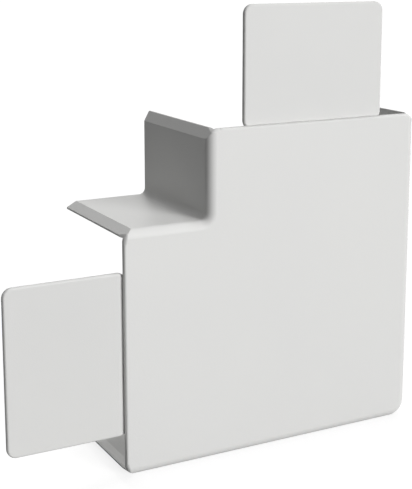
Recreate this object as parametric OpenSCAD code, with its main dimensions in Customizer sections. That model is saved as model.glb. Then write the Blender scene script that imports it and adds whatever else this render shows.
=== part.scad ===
// Flat angle for wall trunking: a moulded hood that covers a right-angled bend
// of trunking on the wall, with a sliding joint plate in the end of each leg.
// Millimetres. Everything is drawn with the hood lying on its back, where z is
// the height above the wall, and is then stood up: x right, z up, front at -y.
// The origin is on the wall, where the centre lines of the two legs cross.
// The two legs mirror each other, so one leg is drawn and laid into both.

/* [Trunking] */
// Width of the trunking that each leg covers
trunking_w = 100; // [80:1:130]
// Depth of the trunking from the wall to its lid
trunking_d = 60; // [40:1:90]

/* [Hood] */
// Wall thickness of the moulding
wall = 2; // [1.6:0.1:2.6]
// Room between the side of the trunking and the hood's side wall
side_gap = 1.5; // [1.2:0.1:2.5]
// Length of each leg beyond the inner corner
leg_reach = 39; // [34:1:80]
// Outside radius of the long front edges
front_r = 4; // [3:0.5:6]
// Outside radius of the upright corner where the legs meet
corner_r = 8; // [7:0.5:14]
// Outside radius of the fillet in the inner corner
notch_r = 3; // [1:0.5:6]

/* [Entry lips] */
// Length of the slope at the end of each side wall
lip_len = 4.5; // [3:0.25:8]
// How far the slope leads in from the outer face
lip_in = 2.5; // [1.5:0.1:2.7]
// Clearance of the lips and catches beside the trunking
lip_gap = 0.2; // [0.1:0.05:0.3]
// Length of the flat land inside the end of a lip
lip_land = 1; // [0.5:0.25:2]
// Radius of the front edge at the end of a lip
lip_front_r = 2; // [0.5:0.25:2.5]
// Radius of the front wall's corners at the open end of a leg
lip_corner_r = 6; // [4:0.5:8]
// Length behind the front wall over which those corners fade into the lips
lip_fade = 4; // [3:0.5:8]
// Rounding of the front wall's end edge
end_r = 1; // [0.5:0.1:1.4]

/* [Joint plates] */
// Width of a joint plate
plate_w = 71; // [50:1:78]
// Length of a joint plate's face
plate_l = 53; // [40:1:60]
// Thickness of a joint plate
plate_t = 1.8; // [1.6:0.1:2.4]
// Radius of a joint plate's corners
plate_corner_r = 4.2; // [2.5:0.1:8]
// Rounding of the rim round a joint plate's face
plate_rim_r = 1; // [0.4:0.1:1.2]
// How far a joint plate stands out of the hood
plate_out = 51; // [20:1:51]
// How far a joint plate can be pushed in from there
plate_travel = 42; // [10:1:42]
// Clearance between a joint plate's face and the front wall
face_gap = 0.2; // [0.1:0.05:0.4]
// Length of the tongue that stays between the guide rails
tongue_l = 12; // [8:1:16]
// Thickness of the tongue
tongue_t = 1.4; // [1:0.1:1.5]
// Step from the side of the plate in to the side of its tongue
tongue_step = 2; // [1:0.25:4]
// Radius of the tongue's corners
tongue_r = 3; // [1:0.5:5]

/* [Guide rails] */
// Thickness of a rail's web
rail_web = 1.6; // [1.2:0.1:2.4]
// Thickness of the hook behind the plate
hook_t = 1.4; // [1:0.1:2]
// Overlap of the hook behind the tongue
hook_grip = 2.5; // [1.5:0.25:4]
// Running clearance between a plate and its rails or stop
rail_gap = 0.3; // [0.2:0.05:0.5]
// Distance of the rails from the open end of the leg
rail_start = 2; // [1:0.5:6]
// Length of the rails
rail_l = 51; // [30:1:53]
// Width of the stop that a pushed-in plate meets
stop_w = 16; // [8:1:30]

/* [Catches] */
// Length of a catch along its wall
catch_l = 14; // [8:1:18]
// Height of a catch from its lower to its upper edge
catch_h = 5; // [4:0.5:8]
// Height of a catch's lower edge above the wall
catch_up = 1.5; // [1:0.5:6]
// Height of the flat nose of a catch
catch_nose = 1; // [0.5:0.25:2]
// Distance of a catch from the end of its wall
catch_inset = 16; // [10:1:18]

/* [Hidden] */
$fn = 96;
shell_colour = "#dbdbd9";
plate_colour = "#d7d7d5";
// Half the width of a leg over its side walls
half = trunking_w / 2 + side_gap + wall;
// Depth of the hood from the wall to its front face
depth = trunking_d + plate_t + face_gap + wall;
// Distance from the origin to the open end of each leg
mouth = half + leg_reach;
// Distance from a leg's centre line to the flat land of its lips
lip_y = trunking_w / 2 + lip_gap;
// Distance from a leg's centre line to the web of a rail
rail_y = plate_w / 2 + rail_gap;
// Place of the tongue's end, and of the stop that it meets when the plate is pushed in
tongue_end = plate_l - plate_out + tongue_l - mouth;
stop_x = tongue_end + plate_travel + rail_gap;
// Length of the stretch at a leg's end that holds its lips
lip_zone = lip_len + lip_land;
// How far the rounding of a lip's edges and corners stands clear of the faces that cut it
lip_lift = 0.15;
// Depth that a rib is rooted in the wall it stands on
root = 0.5;
// Distance that a cutting shape runs past the face it cuts
past = 1;

// What is drawn for the left leg, in both legs
module both_legs() {
  children();
  mirror([1, 1, 0]) children();
}

// Stands the angle up with its back to the wall
module upright() {
  rotate([90, 0, 0]) children();
}

// A section whose x is turned to y and y to z, drawn out along x from x0 to x1
module along_leg(x0, x1) {
  translate([x0, 0, 0]) rotate([90, 0, 90]) linear_extrude(x1 - x0) children();
}

// Section through the edge of a block: body from x = 0 to its outer face at x = band, top edge rounded by r
module rim_section(band, bottom, top, r) {
  translate([0, bottom]) square([band, top - r - bottom]);
  translate([0, top - r]) square([band - r, r]);
  translate([band - r, top - r]) intersection() {
    circle(r);
    square(r);
  }
}

// The L-shaped block whose faces lie inset behind the hood's outer faces, with legs as long as reach.
// An inset block runs the same distance through the back, which leaves the hood open there.
module angle_block(inset, reach) {
  side = half - inset;
  top = depth - inset;
  r = front_r - inset;
  band = corner_r - inset;
  fillet = notch_r + inset;
  bend = half + notch_r;
  middle = side - band;
  both_legs() {
    // Long outer wall
    translate([0, -middle, 0]) mirror([0, 1, 0]) along_leg(-reach, middle) rim_section(band, -inset, top, r);
    // Short wall beside the notch
    translate([0, middle, 0]) along_leg(-reach, -bend) rim_section(band, -inset, top, r);
  }
  // Outer corner
  translate([middle, -middle, 0]) rotate([0, 0, -90]) rotate_extrude(angle = 90)
    rim_section(band, -inset, top, r);
  // Inner corner
  translate([-bend, bend, 0]) rotate([0, 0, -90]) rotate_extrude(angle = 90)
    translate([fillet + band, 0]) mirror([1, 0]) rim_section(band, -inset, top, r);
  // Body between the walls
  difference() {
    translate([0, 0, -inset]) linear_extrude(top + inset) polygon([
      [-reach, -middle], [middle, -middle], [middle, reach], [-middle, reach],
      [-middle, bend], [-bend, bend], [-bend, middle], [-reach, middle]
    ]);
    translate([-bend, bend, -inset - past]) cylinder(r = fillet + (r + band) / 2, h = depth + 2 * past);
  }
}

// What is cut from one side of the left leg's end to leave a sloping lip with a rounded front edge
module slope_cutter() {
  angle = atan2(lip_in, lip_len);
  r = lip_front_r;
  translate([-mouth, lip_in - half, 0]) rotate([0, 0, -angle])
    along_leg(-lip_in, lip_len / cos(angle) + past) difference() {
      translate([-2 * lip_in, -past]) square([2 * lip_in + r, depth + 2 * past]);
      translate([r + past, 0]) mirror([1, 0]) rim_section(r + past, -2 * past, depth + lip_lift, r);
    }
}

// What is cut from one front corner of the left leg's end. Behind the front wall the cut widens until it
// clears the lip, so that only the tip of the lip is rounded.
module corner_cutter() {
  r = lip_corner_r;
  middle = r - lip_lift;
  clear = max(r, norm([middle, middle - lip_in])) + lip_lift;
  foot = depth - wall - lip_fade;
  shoulder = depth - max(wall, lip_front_r);
  translate([middle - mouth, middle - half, 0]) rotate([0, 0, 180]) difference() {
    translate([0, 0, foot]) cube([r + past, r + past, depth + past - foot]);
    rotate_extrude(angle = 90) {
      rim_section(r, foot - past, depth + lip_lift, lip_front_r);
      polygon([[0, foot - past], [clear, foot - past], [clear, foot], [r, shoulder], [0, shoulder]]);
    }
  }
}

// What is cut from the front wall's end to round its edge
module end_cutter() {
  rotate([90, 0, 0]) linear_extrude(2 * (half + past), center = true) difference() {
    translate([-mouth - past, depth - end_r]) square(end_r + past);
    translate([end_r - mouth, depth - end_r]) circle(end_r);
  }
}

// The end of the left leg, solid: the side walls lead in and the front wall stays flat to its rounded end
module leg_end() {
  difference() {
    for (s = [0, 1]) mirror([0, s, 0])
      along_leg(-mouth, lip_zone - mouth) rim_section(half, 0, depth, front_r);
    for (s = [0, 1]) mirror([0, s, 0]) {
      slope_cutter();
      corner_cutter();
    }
    end_cutter();
  }
}

// What the lips of the left leg leave standing in the room between its side walls
module lip_shoulders() {
  inner = half - wall;
  for (s = [-1, 1]) translate([0, 0, -wall - past]) linear_extrude(depth + wall + past) polygon([
    [-mouth - 2 * past, s * lip_y], [lip_land - mouth, s * lip_y], [lip_zone - mouth, s * inner],
    [lip_zone - mouth, s * (half + past)], [-mouth - 2 * past, s * (half + past)]
  ]);
}

// Two rails behind the front wall of the left leg, hooked round the long edges of the joint plate
module guide_rails() {
  hook_top = trunking_d - rail_gap;
  hook_bottom = hook_top - hook_t;
  reach = rail_gap + tongue_step + hook_grip;
  for (s = [0, 1]) mirror([0, s, 0]) along_leg(rail_start - mouth, rail_start + rail_l - mouth) polygon([
    [rail_y, depth - wall + root], [rail_y, hook_top],
    [rail_y - reach, hook_top], [rail_y - reach, hook_bottom],
    [rail_y + rail_web, hook_bottom], [rail_y + rail_web, depth - wall + root]
  ]);
}

// Rib that stops the tongue of the left leg's plate
module plate_stop() {
  translate([stop_x, -stop_w / 2, trunking_d])
    cube([rail_web, stop_w, plate_t + face_gap + root]);
}

// Nose on the inside of a side wall that grips the trunking: its wall's inner face lies along y = 0
module catch_nose_at(x) {
  depth_in = side_gap - lip_gap;
  nose_up = catch_up + (catch_h - catch_nose) / 3;
  along_leg(x, x + catch_l) polygon([
    [-root, catch_up], [0, catch_up], [depth_in, nose_up],
    [depth_in, nose_up + catch_nose], [0, catch_up + catch_h], [-root, catch_up + catch_h]
  ]);
}

// Catches of the left leg: two along the long wall and one on the short wall
module catches() {
  inner = half - wall;
  translate([0, -inner, 0]) {
    catch_nose_at(catch_inset - mouth);
    catch_nose_at(half - catch_inset - catch_l);
  }
  translate([0, inner, 0]) mirror([0, 1, 0]) catch_nose_at(catch_inset - mouth);
}

// The moulded hood, open at the back and at the end of each leg
module hood() {
  color(shell_colour) upright() {
    difference() {
      union() {
        angle_block(0, mouth - lip_zone);
        both_legs() leg_end();
      }
      difference() {
        angle_block(wall, mouth + past);
        both_legs() lip_shoulders();
      }
    }
    both_legs() {
      guide_rails();
      plate_stop();
      catches();
    }
  }
}

// Slab with its middle at the origin, round corners and a rounded rim along its top
module rimmed_slab(l, w, h, corner, rim) {
  x = l / 2 - corner;
  y = w / 2 - corner;
  for (a = [0, 1], b = [0, 1]) mirror([a, 0, 0]) mirror([0, b, 0]) {
    translate([x, y, 0]) rotate_extrude(angle = 90) rim_section(corner, 0, h, rim);
    translate([0, y, 0]) along_leg(0, x) rim_section(corner, 0, h, rim);
    translate([x, y, 0]) rotate([90, 0, 0]) linear_extrude(y) rim_section(corner, 0, h, rim);
  }
  translate([-x, -y, 0]) cube([2 * x, 2 * y, h]);
}

// Flat plate over the joint between trunking and hood: outer end at x = 0, back at z = 0
module joint_plate() {
  side = plate_w / 2 - tongue_step;
  tip = plate_l + tongue_l - tongue_r;
  translate([plate_l / 2, 0, 0]) rimmed_slab(plate_l, plate_w, plate_t, plate_corner_r, plate_rim_r);
  // Tongue, rooted in the plate as far as its corners reach
  translate([plate_l - plate_corner_r, -side, 0])
    cube([plate_corner_r + tongue_l - tongue_r, 2 * side, tongue_t]);
  translate([tip, tongue_r - side, 0]) cube([tongue_r, 2 * (side - tongue_r), tongue_t]);
  for (s = [-1, 1]) translate([tip, s * (side - tongue_r), 0]) cylinder(r = tongue_r, h = tongue_t);
}

// A joint plate in the left leg, drawn out as far as its tongue allows
module placed_plate() {
  translate([-mouth - plate_out, 0, trunking_d]) joint_plate();
}

module left_joint_plate() {
  color(plate_colour) upright() placed_plate();
}

module top_joint_plate() {
  color(plate_colour) upright() mirror([1, 1, 0]) placed_plate();
}

hood();
left_joint_plate();
top_joint_plate();
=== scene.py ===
import math

import bmesh
import bpy
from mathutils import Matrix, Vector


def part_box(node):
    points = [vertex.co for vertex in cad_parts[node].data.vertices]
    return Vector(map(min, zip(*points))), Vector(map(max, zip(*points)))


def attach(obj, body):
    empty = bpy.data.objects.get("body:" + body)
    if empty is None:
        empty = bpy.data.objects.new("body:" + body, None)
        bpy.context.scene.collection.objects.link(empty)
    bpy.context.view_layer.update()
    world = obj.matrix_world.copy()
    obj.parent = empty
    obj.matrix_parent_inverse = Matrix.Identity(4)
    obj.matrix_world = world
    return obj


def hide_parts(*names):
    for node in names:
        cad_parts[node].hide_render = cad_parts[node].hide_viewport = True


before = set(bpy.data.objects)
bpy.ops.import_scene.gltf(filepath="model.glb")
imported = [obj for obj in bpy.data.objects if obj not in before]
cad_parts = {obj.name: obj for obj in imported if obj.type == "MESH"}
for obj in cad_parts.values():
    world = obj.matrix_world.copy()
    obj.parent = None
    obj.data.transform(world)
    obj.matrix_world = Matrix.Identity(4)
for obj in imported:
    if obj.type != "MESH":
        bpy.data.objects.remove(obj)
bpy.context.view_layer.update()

# Hood: one injection moulding in light grey PVC-U, open at the back and at both leg ends.
# It came from a finely spark-eroded tool, so its faces are satin and its edges are barely broken.
HOOD_COLOUR = "#dcdcda"
HOOD_SHADE = "#d9d9d8"
HOOD_GRAIN_MM = 0.7
HOOD_DRIFT_MM = 55
HOOD_EDGE = 0.00022
HOOD_ROOM = 0.0010
WELD_DISTANCE = 1e-6
# Faces that meet flatter than the first angle are one face, lines up to the second are shaded as a round,
# and lines beyond the third are edges that get broken
FLAT_ANGLE = math.radians(0.4)
CREASE_ANGLE = math.radians(14)
EDGE_ANGLE = math.radians(38)
# A Mix node's colour sockets go by number, because its other kinds of value have the same names
MIX_FIRST = 6
MIX_SECOND = 7
MIX_RESULT = 2


def linear(colour):
    """An sRGB hex colour as the linear RGBA that a shader's socket takes"""
    parts = [int(colour[i:i + 2], 16) / 255 for i in (1, 3, 5)]
    return [c / 12.92 if c <= 0.04045 else ((c + 0.055) / 1.055) ** 2.4 for c in parts] + [1.0]


def add_node(tree, kind, settings=None, values=None, links=None):
    """A node with its settings, the values of its inputs, and the outputs that feed its inputs"""
    made = tree.nodes.new(kind)
    for name, value in (settings or {}).items():
        setattr(made, name, value)
    for name, value in (values or {}).items():
        made.inputs[name].default_value = value
    for name, output in (links or {}).items():
        tree.links.new(output, made.inputs[name])
    return made


def moulded_pvc(name, colour, shade, grain_mm, drift_mm):
    """Satin moulded PVC-U: the tool's grain breaks up the gloss, the tone drifts where the melt cooled"""
    material = bpy.data.materials.new(name)
    material.use_nodes = True
    tree = material.node_tree
    tree.nodes.clear()
    place = add_node(tree, "ShaderNodeTexCoord")
    # The tool's grain is about 0.1 mm across, too fine to show, so it is drawn several times as coarse
    grain = add_node(
        tree, "ShaderNodeTexNoise",
        values={"Scale": 1000 / grain_mm, "Detail": 3.0, "Roughness": 0.6},
        links={"Vector": place.outputs["Object"]},
    )
    drift = add_node(
        tree, "ShaderNodeTexNoise",
        values={"Scale": 1000 / drift_mm, "Detail": 2.0, "Roughness": 0.5},
        links={"Vector": place.outputs["Object"]},
    )
    tone = add_node(
        tree, "ShaderNodeMix", settings={"data_type": "RGBA"},
        values={MIX_FIRST: linear(shade), MIX_SECOND: linear(colour)},
        links={"Factor": drift.outputs["Fac"]},
    )
    gloss = add_node(
        tree, "ShaderNodeMapRange",
        values={"From Min": 0.3, "From Max": 0.7, "To Min": 0.54, "To Max": 0.66},
        links={"Value": grain.outputs["Fac"]},
    )
    relief = add_node(
        tree, "ShaderNodeBump",
        values={"Strength": 0.3, "Distance": 0.0001},
        links={"Height": grain.outputs["Fac"]},
    )
    shader = add_node(
        tree, "ShaderNodeBsdfPrincipled",
        values={"IOR": 1.53},
        links={
            "Base Color": tone.outputs[MIX_RESULT],
            "Roughness": gloss.outputs["Result"],
            "Normal": relief.outputs["Normal"],
        },
    )
    add_node(tree, "ShaderNodeOutputMaterial", links={"Surface": shader.outputs["BSDF"]})
    return material


def finished_moulding(node, name, edge, room):
    """A copy of a CAD node with its flat faces whole, its edges broken and its rounds shaded smooth"""
    mesh = bpy.data.meshes.new(name)
    shape = bmesh.new()
    shape.from_mesh(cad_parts[node].data)
    bmesh.ops.remove_doubles(shape, verts=shape.verts, dist=WELD_DISTANCE)
    bmesh.ops.dissolve_limit(shape, angle_limit=FLAT_ANGLE, verts=shape.verts, edges=shape.edges)
    for face in shape.faces:
        face.smooth = True
    # An edge is broken where every line that meets it is longer than the room a bevel needs there.
    # Elsewhere, as in the small rounds at a lip's tip, it stays crisp.
    weight = shape.edges.layers.float.new("bevel_weight_edge")
    for line in shape.edges:
        angle = line.calc_face_angle(0)
        shortest = min(other.calc_length() for end in line.verts for other in end.link_edges)
        line[weight] = float(angle > EDGE_ANGLE and shortest > room)
        line.smooth = angle < CREASE_ANGLE
    shape.to_mesh(mesh)
    shape.free()
    piece = bpy.data.objects.new(name, mesh)
    bpy.context.scene.collection.objects.link(piece)
    broken = piece.modifiers.new("broken edge", "BEVEL")
    broken.affect = "EDGES"
    broken.width = edge
    broken.segments = 2
    broken.profile = 0.5
    broken.material = -1
    broken.limit_method = "WEIGHT"
    broken.use_clamp_overlap = False
    weighted = piece.modifiers.new("flat faces", "WEIGHTED_NORMAL")
    weighted.weight = 100
    weighted.keep_sharp = True
    return piece


hood = finished_moulding("hood", "moulded_hood", HOOD_EDGE, HOOD_ROOM)
hood_pvc = moulded_pvc("satin PVC-U, hood", HOOD_COLOUR, HOOD_SHADE, HOOD_GRAIN_MM, HOOD_DRIFT_MM)
hood.data.materials.append(hood_pvc)
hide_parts("hood")
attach(hood, "hood")

# Joint plates: two identical flat mouldings in the same PVC-U, a shade duller than the hood.
# Each slides behind the front wall in the hood's guide rails and covers the joint with the trunking.
PLATE_COLOUR = "#d9d9d7"
PLATE_SHADE = "#d4d4d3"
PLATE_GRAIN_MM = 0.6
PLATE_DRIFT_MM = 40
PLATE_EDGE = 0.00018
PLATE_ROOM = 0.00036
plate_pvc = moulded_pvc(
    "satin PVC-U, joint plates", PLATE_COLOUR, PLATE_SHADE, PLATE_GRAIN_MM, PLATE_DRIFT_MM
)
for node, name, body in (
    ("left_joint_plate", "left_sliding_plate", "left_plate"),
    ("top_joint_plate", "top_sliding_plate", "top_plate"),
):
    plate = finished_moulding(node, name, PLATE_EDGE, PLATE_ROOM)
    plate.data.materials.append(plate_pvc)
    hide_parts(node)
    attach(plate, body)

# Floor: a wide sheet of white studio paper that the angle stands on.
# It shows white to the camera and in reflections, and darkens where the angle keeps the light off it.
FLOOR_REACH = 40.0
FLOOR_PAPER = "#8c8c8c"
FLOOR_LIFT = 0.84


def shown_directly(tree):
    """1 where a surface is seen straight, mirrored or through glass, and 0 where it only lights others"""
    path = add_node(tree, "ShaderNodeLightPath")
    seen_or_mirrored = add_node(
        tree, "ShaderNodeMath", settings={"operation": "MAXIMUM"},
        links={0: path.outputs["Is Camera Ray"], 1: path.outputs["Is Glossy Ray"]},
    )
    shown = add_node(
        tree, "ShaderNodeMath", settings={"operation": "MAXIMUM"},
        links={0: seen_or_mirrored.outputs[0], 1: path.outputs["Is Transmission Ray"]},
    )
    return shown.outputs[0]


floor_mesh = bpy.data.meshes.new("studio_floor")
sheet = bmesh.new()
bmesh.ops.create_grid(sheet, x_segments=1, y_segments=1, size=FLOOR_REACH)
bmesh.ops.translate(sheet, verts=sheet.verts, vec=(0, 0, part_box("hood")[0].z))
sheet.to_mesh(floor_mesh)
sheet.free()
floor = bpy.data.objects.new("studio_floor", floor_mesh)
bpy.context.scene.collection.objects.link(floor)
paper = bpy.data.materials.new("matt studio paper")
paper.use_nodes = True
paper.node_tree.nodes.clear()
lift = add_node(
    paper.node_tree, "ShaderNodeMath", settings={"operation": "MULTIPLY"},
    values={1: FLOOR_LIFT}, links={0: shown_directly(paper.node_tree)},
)
lit = add_node(paper.node_tree, "ShaderNodeBsdfDiffuse", values={"Color": linear(FLOOR_PAPER)})
glow = add_node(paper.node_tree, "ShaderNodeEmission", links={"Strength": lift.outputs[0]})
both = add_node(paper.node_tree, "ShaderNodeAddShader", links={0: lit.outputs[0], 1: glow.outputs[0]})
add_node(paper.node_tree, "ShaderNodeOutputMaterial", links={"Surface": both.outputs[0]})
floor_mesh.materials.append(paper)

# Light: a soft key from in front and a little to the right, and a soft light overhead, in a dim room.
# A weaker one from behind on the right casts the upright wall's soft shadow on the notch's level wall.
# Faces turned left get only what the room, the floor and the walls beside them throw back.
ROOM_LEVEL = 0.03
for name, (right, back, up), level, spread in (
    ("key", (0.40, -0.90, 0.20), 0.94, 24),
    ("overhead", (0.10, 0.14, 1.0), 0.45, 24),
    ("rear", (0.38, 0.93, 0.42), 0.38, 12),
):
    # The level is what a face square to the light gets, where 1 shows a colour as it is written
    lamp = bpy.data.lights.new(name, "SUN")
    lamp.energy = level * math.pi
    lamp.angle = math.radians(spread)
    lamp_object = bpy.data.objects.new(name, lamp)
    tilt = math.atan2(math.hypot(right, back), up)
    turn = math.atan2(right, -back)
    lamp_object.rotation_euler = (tilt, 0, turn)
    # The rear light shows in no reflection
    lamp_object.visible_glossy = name != "rear"
    bpy.context.scene.collection.objects.link(lamp_object)
room = bpy.data.worlds.new("studio room")
room.use_nodes = True
room.node_tree.nodes.clear()
room_level = add_node(
    room.node_tree, "ShaderNodeMapRange", values={"To Min": ROOM_LEVEL, "To Max": 1.0},
    links={"Value": shown_directly(room.node_tree)},
)
room_light = add_node(
    room.node_tree, "ShaderNodeBackground", values={"Color": (1, 1, 1, 1)},
    links={"Strength": room_level.outputs["Result"]},
)
add_node(room.node_tree, "ShaderNodeOutputWorld", links={"Surface": room_light.outputs[0]})
bpy.context.scene.world = room

# Camera: from the left, in front and a little above, worked out from the straight edges in the photo.
# The small shift stands for the photo's view camera, which kept the upright edges nearly parallel.
LOOK_DOWN = 10.465
LOOK_RIGHT = 27.867
camera_data = bpy.data.cameras.new("camera")
camera_data.lens = 83.644
camera_data.sensor_width = 36
camera_data.shift_y = -0.16
camera_data.clip_start = 0.01
camera_data.clip_end = 200
camera = bpy.data.objects.new("camera", camera_data)
camera.location = (-0.2723, -0.4752, 0.1630)
camera.rotation_euler = (math.radians(90 - LOOK_DOWN), 0, math.radians(-LOOK_RIGHT))
bpy.context.scene.collection.objects.link(camera)
bpy.context.scene.camera = camera
bpy.context.scene.view_settings.view_transform = "Standard"
